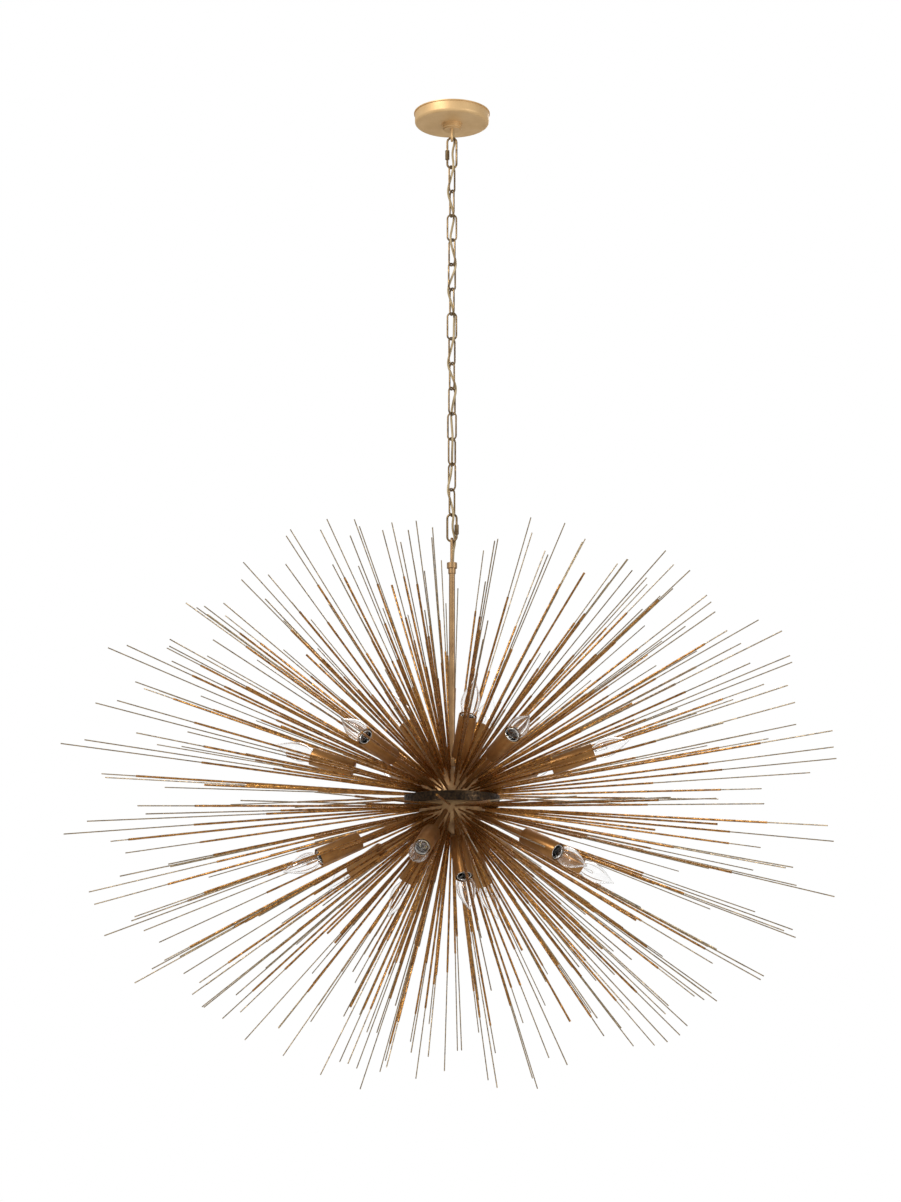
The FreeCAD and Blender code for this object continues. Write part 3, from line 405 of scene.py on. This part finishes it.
# Near-black that is partly painted shade under the hub's rim, with lighter speckles that are painted
# glints.
band_dark = finish_material(
    "band_dark", (0.055, 0.032, 0.014), (0.008, 0.005, 0.004), 0.85, 0.3, 0.6,
    darkness=1.0, patch=260.0, grain=1500.0, marks=500.0, strength=0.5,
)
screw_gold = finish_material(
    "screw_gold", (0.6, 0.38, 0.15), (0.2, 0.11, 0.04), 0.9, 0.22, 0.4,
    darkness=0.6, patch=120.0, marks=300.0, strength=0.2,
)
zinc = finish_material(
    "zinc", (0.55, 0.55, 0.54), (0.32, 0.32, 0.32), 0.9, 0.3, 0.5,
    darkness=0.6, patch=150.0, marks=300.0, strength=0.1,
)
green_zinc = finish_material(
    "green_zinc", (0.05, 0.3, 0.11), (0.02, 0.16, 0.06), 0.7, 0.3, 0.45,
    darkness=0.5, patch=150.0, marks=300.0, strength=0.1,
)
socket_metal = finish_material(
    "socket_metal", (0.88, 0.87, 0.84), (0.6, 0.59, 0.57), 0.75, 0.14, 0.28,
    darkness=0.4, patch=150.0, marks=400.0, strength=0.05,
)
cap_brass = finish_material(
    "cap_brass", (0.75, 0.6, 0.3), (0.45, 0.33, 0.14), 1.0, 0.2, 0.35,
    darkness=0.5, patch=150.0, marks=400.0, strength=0.05,
)
bakelite = finish_material(
    "bakelite", (0.02, 0.017, 0.015), (0.035, 0.03, 0.027), 0.0, 0.35, 0.5,
    darkness=0.6, patch=120.0, marks=500.0, strength=0.05,
)
cord_sleeve = finish_material(
    "cord_sleeve", (0.42, 0.32, 0.17), (0.27, 0.19, 0.1), 0.15, 0.35, 0.5,
    darkness=0.5, patch=200.0, marks=900.0, strength=0.3, depth=0.0002,
)
white_sleeve = finish_material(
    "white_sleeve", (0.78, 0.76, 0.7), (0.6, 0.58, 0.52), 0.0, 0.4, 0.5,
    darkness=0.4, patch=200.0, marks=500.0, strength=0.05,
)
filament_wire = finish_material(
    "filament_wire", (0.4, 0.3, 0.2), (0.15, 0.12, 0.1), 0.9, 0.3, 0.4,
    darkness=0.5, patch=300.0, marks=900.0, strength=0.05,
)
bulb_clear = glass_material("bulb_clear", 0.0, 1.45)
mount_clear = glass_material("mount_clear", 0.12, 1.45)

NODE_MATERIALS = {
    "equator_band": band_dark,
    "ceiling_crossbar": zinc,
    "crossbar_nipple": zinc,
    "nipple_nuts": zinc,
    "ground_screw": green_zinc,
    "hang_loop": canopy_gold,
    "canopy": canopy_gold,
    "collar_ring": canopy_gold,
    "supply_cord": cord_sleeve,
    "stem_loop": hub_gold,
    "stem_tube": hub_gold,
    "stem_nuts": hub_gold,
    "bottom_cap_nut": hub_gold,
    "flange_screws": screw_gold,
    "flange_nuts": screw_gold,
    "arm_nuts": zinc,
    "cup_nuts": zinc,
    "socket_bodies": bakelite,
    "socket_shells": socket_metal,
    "socket_contacts": cap_brass,
    "trim_rings": socket_metal,
    "bulb_caps": cap_brass,
    "bulb_glass": bulb_clear,
    "bulb_filaments": filament_wire,
    "lamp_leads": white_sleeve,
}
for half in ("upper", "lower"):
    NODE_MATERIALS[f"{half}_rods"] = rod_gold
    NODE_MATERIALS[f"{half}_rod_tips"] = tip_wire
    NODE_MATERIALS[f"{half}_hub_shell"] = hub_gold
    NODE_MATERIALS[f"{half}_flange_plate"] = dark_plate
    NODE_MATERIALS[f"{half}_splice_block"] = bakelite
    NODE_MATERIALS[f"{half}_lamp_arms"] = cup_gold
    NODE_MATERIALS[f"{half}_socket_cups"] = cup_gold

for node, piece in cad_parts.items():
    material = NODE_MATERIALS.get(node, chain_gold)
    piece.data.materials.clear()
    piece.data.materials.append(material)


# ---- lamps ----

# First turn, tilt, distance of the rims from the hub's centre in mm, how many.
LAMP_RINGS = [
    (-66.0, 18.5, 240.0, 6),
    (-70.0, 60.0, 148.0, 3),
    (-42.0, -24.0, 240.0, 6),
    (-75.0, -60.0, 148.0, 3),
]


def lamp_places():
    """Matrix that takes +Z from the origin to each lamp's axis, with its cup's rim as origin."""
    places = []
    for first, tilt, rim, count in LAMP_RINGS:
        for k in range(count):
            turn = math.radians(first + 360.0 / count * k)
            rise = math.radians(tilt)
            level = math.cos(rise)
            way = Vector((math.cos(turn) * level, math.sin(turn) * level, math.sin(rise)))
            place = Matrix.Translation(HUB_CENTRE + way * rim * MM)
            places.append((place @ way.to_track_quat("Z", "Y").to_matrix().to_4x4(), tilt > 0))
    return places


LAMP_PLACES = lamp_places()


def at_lamps(shape, upper=None, spin=0.0):
    """One copy of a shape for each lamp, each turned a little further about its own axis."""
    parts = []
    points, faces = shape
    for k, (place, is_upper) in enumerate(LAMP_PLACES):
        if upper is not None and upper != is_upper:
            continue
        turned_place = place @ Matrix.Rotation(spin * k, 4, "Z")
        parts.append(([turned_place @ point for point in points], faces))
    return gathered(parts)


def smooth_outline(corners, steps):
    """Curve through (radius, height) corners, in steps points for each pair."""
    found = []
    for k in range(len(corners) - 1):
        before = corners[max(0, k - 1)]
        start, end = corners[k], corners[k + 1]
        after = corners[min(len(corners) - 1, k + 2)]
        for step in range(steps):
            t = step / steps
            point = []
            for axis in (0, 1):
                a, b, c, d = before[axis], start[axis], end[axis], after[axis]
                square = (2 * a - 5 * b + 4 * c - d) * t**2
                cube = (3 * b - a - 3 * c + d) * t**3
                point.append(0.5 * (2 * b + (c - a) * t + square + cube))
            found.append(tuple(point))
    found.append(corners[-1])
    return found


CUP_SIDES = 40
# Each outline of a lamp's pieces is (radius, height above the cup's rim) in millimetres.
CUP_OUTLINE = [
    (4.15, -72.0),
    (13.6, -72.0),
    (14.2, -71.6),
    (14.5, -70.8),
    (14.5, -0.7),
    (14.3, -0.2),
    (13.9, 0.0),
    (13.5, -0.2),
    (13.3, -0.7),
    (13.3, -70.0),
    (4.15, -70.0),
]
for half, is_upper in (("upper", True), ("lower", False)):
    shape = at_lamps(turned(CUP_OUTLINE, CUP_SIDES), is_upper)
    cups = mesh_piece(f"{half}_cups", *shape, cup_gold)
    dress(cups, "fixture", "cup_gold", f"{half}_socket_cups")

RING_OUTLINE = [
    (11.6, -6.0),
    (11.6, -2.3),
    (11.4, -1.8),
    (11.0, -1.5),
    (10.6, -1.6),
    (10.2, -2.0),
    (10.0, -2.7),
    (10.0, -6.0),
]
rings = mesh_piece("socket_rings", *at_lamps(turned(RING_OUTLINE, CUP_SIDES)), socket_metal)
dress(rings, "fixture", "socket_metal", "trim_rings")

THREAD_PITCH = 2.54
SHELL_RADIUS = 7.1
SHELL_THREAD_DEPTH = 0.5
SHELL_SPAN = (-35.9, -12.2)
SHELL_WALL = 0.35
shell = threaded(SHELL_RADIUS, SHELL_THREAD_DEPTH, THREAD_PITCH, *SHELL_SPAN, SHELL_WALL)
shells = mesh_piece("socket_threads", *at_lamps(shell), socket_metal)
dress(shells, "fixture", "socket_metal", "socket_shells")

BULB_SPIN = 0.7  # how much further each bulb is screwed in than the one before
CAP_SIDES = 32
CAP_RADIUS = 5.85
CAP_THREAD_DEPTH = 0.45
CAP_SPAN = (-31.6, -16.5)
CAP_TIP_OUTLINE = [(1.2, -34.4), (2.0, -33.8), (2.3, -33.0), (4.6, -32.2), (5.4, -31.6)]
CAP_NECK_OUTLINE = [(5.5, -16.5), (5.75, -16.2), (5.75, -14.1)]
cap = gathered(
    [
        threaded(CAP_RADIUS, CAP_THREAD_DEPTH, THREAD_PITCH, *CAP_SPAN, 0),
        lidded(CAP_TIP_OUTLINE, CAP_SIDES),
        lidded(CAP_NECK_OUTLINE, CAP_SIDES),
    ]
)
caps = mesh_piece("bulb_screw_caps", *at_lamps(cap, spin=BULB_SPIN), cap_brass)
dress(caps, "fixture", "cap_brass", "bulb_caps")

GLASS_SIDES = 36
GLASS_STEPS = 4
GLASS_WALL = 0.55
GLASS_SINK = 0.25  # how far the inner outline lies below the outer one
GLASS_LEAST_BORE = 0.25
GLASS_BODY = [
    (6.3, -13.9),
    (6.5, -10.0),
    (7.6, -3.0),
    (9.6, 3.0),
    (12.0, 8.0),
    (14.3, 14.0),
    (15.2, 21.0),
    (14.5, 29.0),
    (12.2, 36.5),
    (9.3, 43.5),
    (6.2, 50.0),
    (3.3, 56.0),
    (1.7, 59.6),
    (1.2, 61.0),
]
GLASS_TIP = [(0.9, 61.7), (0.35, 62.0)]
GLASS_OUTSIDE = smooth_outline(GLASS_BODY, GLASS_STEPS) + GLASS_TIP
GLASS_INSIDE = [
    (max(GLASS_LEAST_BORE, radius - GLASS_WALL), height - GLASS_SINK)
    for radius, height in GLASS_OUTSIDE
]
GLASS_INSIDE[0] = (5.7, -13.3)


def glass_shape():
    """Thin closed shell between the outside and inside outlines."""
    outside = lidded(GLASS_OUTSIDE, GLASS_SIDES)
    inside_points, inside_faces = lidded(GLASS_INSIDE, GLASS_SIDES)
    turned_in = [tuple(reversed(face)) for face in inside_faces]
    return gathered([outside, (inside_points, turned_in)])


glass = mesh_piece("bulb_shells", *at_lamps(glass_shape()), bulb_clear, 60.0)
dress(glass, "fixture", "bulb_glass", "bulb_glass")


SUPPORT_LINE = [(0.9, 2.0), (1.3, 6.0), (2.4, 12.0), (3.6, 17.0), (4.0, 20.3)]
SUPPORT_RADIUS = 0.28 * MM
SUPPORT_SIDES = 8
FILAMENT_HALF_WIDTH = 4.0
FILAMENT_HEIGHT = 20.0
FILAMENT_ARCH = 2.2
FILAMENT_TURNS = 9
FILAMENT_STEPS = 10
COIL_RADIUS = 0.45
FILAMENT_RADIUS = 0.14 * MM
FILAMENT_SIDES = 6


def support_path(side):
    return [Vector((side * across, 0.0, height)) * MM for across, height in SUPPORT_LINE]


def filament_path():
    """Coiled wire that arches between the two supports."""
    count = FILAMENT_TURNS * FILAMENT_STEPS
    path = []
    for k in range(count + 1):
        share = k / count
        angle = 2 * math.pi * k / FILAMENT_STEPS
        across = -FILAMENT_HALF_WIDTH + 2 * FILAMENT_HALF_WIDTH * share
        arch = FILAMENT_ARCH * math.sin(math.pi * share)
        height = FILAMENT_HEIGHT + arch + COIL_RADIUS * math.sin(angle)
        path.append(Vector((across, COIL_RADIUS * math.cos(angle), height)) * MM)
    return path


MOUNT_SIDES = 20
MOUNT_OUTLINE = [
    (4.6, -13.0),
    (3.4, -11.5),
    (2.3, -8.0),
    (1.7, -3.0),
    (1.5, 2.0),
    (1.6, 3.4),
    (1.0, 4.6),
]
mount = lidded(MOUNT_OUTLINE, MOUNT_SIDES)
mounts = mesh_piece("glass_mounts", *at_lamps(mount, spin=BULB_SPIN), mount_clear)
dress(mounts, "fixture", "bulb_glass")
wires = gathered(
    [
        swept(support_path(1), SUPPORT_RADIUS, SUPPORT_SIDES),
        swept(support_path(-1), SUPPORT_RADIUS, SUPPORT_SIDES),
        swept(filament_path(), FILAMENT_RADIUS, FILAMENT_SIDES),
    ]
)
filaments = mesh_piece("filament_wires", *at_lamps(wires, spin=BULB_SPIN), filament_wire)
dress(filaments, "fixture", "filament", "bulb_filaments")


# ---- rods ----


def loose_pieces(mesh):
    """Vertex numbers of each separate solid of a CAD node."""
    parent = list(range(len(mesh.vertices)))

    def root(k):
        while parent[k] != k:
            parent[k] = parent[parent[k]]
            k = parent[k]
        return k

    for edge in mesh.edges:
        a, b = root(edge.vertices[0]), root(edge.vertices[1])
        if a != b:
            parent[a] = b
    found = {}
    for k in range(len(mesh.vertices)):
        found.setdefault(root(k), []).append(k)
    return list(found.values())


ROD_RADIUS = 1.8 * MM
TIP_RADIUS = 0.95 * MM
SHORTEST_ROD = 0.012  # a smaller loose piece is the face at a rod's end
DENT_SPACING = 0.0065  # between two hammer marks along a rod
DENT_DEPTH = 0.16  # share of the rod's radius
ROD_SIDES = 8
TIP_SIDES = 6


def rod_ends(mesh):
    """The two end centres of every rod of a CAD node, the one nearer to the hub first."""
    places = np.zeros(len(mesh.vertices) * 3)
    mesh.vertices.foreach_get("co", places)
    places = places.reshape(-1, 3)
    hub = np.array(HUB_CENTRE)
    ends = []
    for numbers in loose_pieces(mesh):
        own = places[numbers]
        if np.linalg.norm(own.max(0) - own.min(0)) <= SHORTEST_ROD:
            continue
        middle = own.mean(0)
        way = np.linalg.svd(own - middle, full_matrices=False)[2][0]
        along = (own - middle) @ way
        first = own[along < 0]
        second = own[along >= 0]
        a = (first.min(0) + first.max(0)) / 2
        b = (second.min(0) + second.max(0)) / 2
        if np.linalg.norm(a - hub) > np.linalg.norm(b - hub):
            a, b = b, a
        ends.append((Vector(a), Vector(b)))
    return ends


def hammered_rod(start, end, draw):
    """Rod beaten flat in uneven places, with blunt ends."""
    way = (end - start).normalized()
    side = way.orthogonal().normalized()
    up = way.cross(side)
    length = (end - start).length
    rings = max(3, int(length / DENT_SPACING))
    points = []
    faces = []
    for ring in range(rings + 1):
        middle = start.lerp(end, ring / rings)
        flat = draw.random() * math.pi
        dent = DENT_DEPTH * draw.random()
        for k in range(ROD_SIDES):
            turn = 2 * math.pi * k / ROD_SIDES
            across = (side * math.cos(turn) + up * math.sin(turn)) * ROD_RADIUS
            press = abs(math.cos(turn - flat))
            points.append(middle + across * (1.0 - dent * press))
        if ring:
            first = (ring - 1) * ROD_SIDES
            for k in range(ROD_SIDES):
                beside = (k + 1) % ROD_SIDES
                above = first + ROD_SIDES
                faces.append((first + k, first + beside, above + beside, above + k))
    faces.append(tuple(reversed(range(ROD_SIDES))))
    faces.append(tuple(rings * ROD_SIDES + k for k in range(ROD_SIDES)))
    return points, faces


draw = random.Random(11)
for half in ("upper", "lower"):
    shafts = [
        hammered_rod(start, end, draw)
        for start, end in rod_ends(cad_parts[f"{half}_rods"].data)
    ]
    shafts = mesh_piece(f"{half}_hammered_rods", *gathered(shafts), rod_gold, 50.0)
    dress(shafts, "fixture", "rod_gold", f"{half}_rods")
    wires = [
        swept([start, end], TIP_RADIUS, TIP_SIDES)
        for start, end in rod_ends(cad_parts[f"{half}_rod_tips"].data)
    ]
    wires = mesh_piece(f"{half}_wire_tips", *gathered(wires), tip_wire, 70.0)
    dress(wires, "fixture", "tip_wire", f"{half}_rod_tips")


# ---- dark band round the hub ----

BAND_RADIUS = 76.5
BAND_BORE = 75.05
BAND_HALF_HEIGHT = 7.5
BAND_ROWS = 8
BAND_SIDES = 200
BAND_DENT = 1.1  # deepest dent


def beaten_band():
    """Ring with uneven dents on its outer face, whose rims stay true."""
    points = []
    faces = []
    step = 2 * BAND_HALF_HEIGHT / BAND_ROWS
    rows = [(BAND_RADIUS, -BAND_HALF_HEIGHT + step * row) for row in range(BAND_ROWS + 1)]
    rows += [(BAND_BORE, BAND_HALF_HEIGHT), (BAND_BORE, -BAND_HALF_HEIGHT)]
    for row, (radius, height) in enumerate(rows):
        for k in range(BAND_SIDES):
            turn = 2 * math.pi * k / BAND_SIDES
            dent = BAND_DENT * draw.random() ** 2 if 0 < row < BAND_ROWS else 0.0
            reach = radius - dent
            point = Vector((reach * math.cos(turn), reach * math.sin(turn), height))
            points.append(HUB_CENTRE + point * MM)
    for row in range(len(rows)):
        first, second = row * BAND_SIDES, (row + 1) % len(rows) * BAND_SIDES
        for k in range(BAND_SIDES):
            beside = (k + 1) % BAND_SIDES
            faces.append((first + k, first + beside, second + beside, second + k))
    return points, faces


band = mesh_piece("beaten_band", *beaten_band(), band_dark, 60.0)
dress(band, "fixture", "dark_plate", "equator_band")


# ---- supply cord ----

CORD_RADIUS = 1.9 * MM
CORD_SIDES = 14
CORD_OFFSET = 8.0 * MM  # how far the cord stands off the chain's axis at each junction
CORD_EYE_OFFSET = 3.2 * MM  # the most that it passes a link's eye off the eye's middle
FIRST_LINK_DEPTH = 46.0 * MM
LINK_TURNS = [0, 52, -64, 0, -50, 43, -64, 0, 50, -60, 48, -25, 43, -43, 56, -8]
HANG_LOOP_TURN = 90.0
STEM_LOOP_TURN = 84.0
LINK_PITCHES = [50.0 * MM] + [43.0 * MM] * 14 + [42.0 * MM]
CORD_START = 12.0 * MM  # above the ceiling
CORD_BEND = -33.0 * MM
ABOVE_COUPLING = 402.0 * MM  # these four are measured from the hub's centre
WINDOW_ENTRY = 40.0 * MM
WINDOW_EXIT = 26.0 * MM
SPLICE_ENTRY = 13.6 * MM
SPLICE_OFFSET = 10.45 * MM
CORD_EXIT_TURN = 75.0


def upright(height):
    return Vector((0.0, 0.0, height))


def level_way(turn):
    return Vector((math.cos(math.radians(turn)), math.sin(math.radians(turn)), 0.0))


def junction(index):
    """Height of the bearing point above link number index, counted from 0."""
    return -FIRST_LINK_DEPTH - sum(LINK_PITCHES[:index])


def wide_sector(first, second):
    """Direction midway in the wider of the two sectors that two vertical planes leave."""
    middle = (first + second) / 2
    return level_way(middle if abs(first - second) % 180 >= 90 else middle + 90)


def eye_crossing(index, way):
    """Where the cord passes through a link's eye. A quick link's nut leaves it only the middle."""
    middle = upright((junction(index) + junction(index + 1)) / 2)
    if index in (0, len(LINK_TURNS) - 1):
        return middle
    along = level_way(LINK_TURNS[index])
    offset = CORD_OFFSET * way.dot(along) / 2
    return middle + along * min(CORD_EYE_OFFSET, max(-CORD_EYE_OFFSET, offset))


def cord_points():
    """The cord's route: woven down the chain, into the stem and out of its side window."""
    turns = [HANG_LOOP_TURN] + LINK_TURNS + [STEM_LOOP_TURN]
    points = [upright(CORD_START), upright(CORD_BEND)]
    standing = wide_sector(turns[0], turns[1])
    for index in range(len(LINK_TURNS)):
        points.append(standing * CORD_OFFSET + upright(junction(index)))
        across = level_way(turns[index + 1] + 90)
        following = wide_sector(turns[index + 1], turns[index + 2])
        if following.dot(across) * standing.dot(across) > 0:
            following = -following
        points.append(eye_crossing(index, standing + following))
        standing = following
    points.append(standing * CORD_OFFSET + upright(junction(len(LINK_TURNS))))
    splice = HUB_CENTRE + level_way(CORD_EXIT_TURN) * SPLICE_OFFSET
    points.append(HUB_CENTRE + upright(ABOVE_COUPLING))
    points.append(HUB_CENTRE + upright(WINDOW_ENTRY))
    points.append(splice + upright(WINDOW_EXIT))
    points.append(splice + upright(SPLICE_ENTRY))
    return points


def curve_through(points):
    """Points read from the smooth curve that has the route's points as its control points."""
    data = bpy.data.curves.new("cord_route", "CURVE")
    data.dimensions = "3D"
    spline = data.splines.new("NURBS")
    spline.points.add(len(points) - 1)
    for made, point in zip(spline.points, points):
        made.co = (*point, 1.0)
    spline.order_u = 3
    spline.use_endpoint_u = True
    route = bpy.data.objects.new("cord_route", data)
    bpy.context.scene.collection.objects.link(route)
    bpy.context.view_layer.update()
    mesh = bpy.data.meshes.new_from_object(route)
    found = [vertex.co.copy() for vertex in mesh.vertices]
    bpy.data.objects.remove(route)
    bpy.data.meshes.remove(mesh)
    return found


def make_cord():
    """One tube for each junction of the chain, from the middle of a link to the middle of the next."""
    line = curve_through(cord_points())
    last = len(LINK_TURNS)
    start = 0
    for index in range(last + 1):
        end = len(line) - 1
        if index < last:
            middle = (junction(index) + junction(index + 1)) / 2
            end = next(k for k, point in enumerate(line) if point.z <= middle)
        path = line[start: end + 1]
        tube = swept(path, CORD_RADIUS, CORD_SIDES)
        piece = mesh_piece(f"supply_cord_{index:02d}", *tube, cord_sleeve)
        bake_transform(piece)
        if index == 0:
            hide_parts("supply_cord")
        start = end


make_cord()


# ---- floor and light ----

FLOOR_SIZE = 44.0
FLOOR_HEIGHT = -2.45
FLOOR_COLOR = (0.8, 0.8, 0.79)
FLOOR_ROUGHNESS = 0.8
WORLD_AS_LIGHT = 0.55
WORLD_AS_SEEN = 1.0
# Name, place and width in metres, power in watts, colour.
LIGHTS = [
    ("key", (-2.2, -2.6, 1.2), 1.2, 95.0, (1.0, 0.97, 0.92)),
    ("fill", (2.6, -2.2, -0.6), 1.2, 35.0, (1.0, 1.0, 1.0)),
    ("back", (0.6, 2.8, 0.8), 1.6, 30.0, (1.0, 0.98, 0.95)),
]


def make_floor():
    bpy.ops.mesh.primitive_plane_add(size=FLOOR_SIZE, location=(0.0, 0.0, FLOOR_HEIGHT))
    floor = bpy.context.active_object
    floor.name = "floor"
    material, shader = plain_material("pale_floor", FLOOR_COLOR, FLOOR_ROUGHNESS)
    floor.data.materials.append(material)


def area_light(name, place, size, power, color):
    """Round soft light that faces the hub."""
    data = bpy.data.lights.new(name, "AREA")
    data.shape = "DISK"
    data.size = size
    data.energy = power
    data.color = color
    light = bpy.data.objects.new(name, data)
    light.location = place
    light.rotation_euler = (HUB_CENTRE - Vector(place)).to_track_quat("-Z", "Y").to_euler()
    bpy.context.scene.collection.objects.link(light)


def make_world():
    """White to the camera and in reflections, softer as a light."""
    world = bpy.data.worlds.new("studio")
    bpy.context.scene.world = world
    world.use_nodes = True
    nodes, links = world.node_tree.nodes, world.node_tree.links
    background = nodes["Background"]
    rays = nodes.new("ShaderNodeLightPath")
    seen = nodes.new("ShaderNodeMath")
    seen.operation = "MAXIMUM"
    links.new(rays.outputs["Is Camera Ray"], seen.inputs[0])
    links.new(rays.outputs["Is Transmission Ray"], seen.inputs[1])
    strength = nodes.new("ShaderNodeMapRange")
    strength.inputs["To Min"].default_value = WORLD_AS_LIGHT
    strength.inputs["To Max"].default_value = WORLD_AS_SEEN
    links.new(seen.outputs["Value"], strength.inputs["Value"])
    background.inputs["Color"].default_value = (1.0, 1.0, 1.0, 1.0)
    links.new(strength.outputs["Result"], background.inputs["Strength"])


make_floor()
make_world()
for values in LIGHTS:
    area_light(*values)
bpy.context.scene.view_settings.view_transform = "Standard"
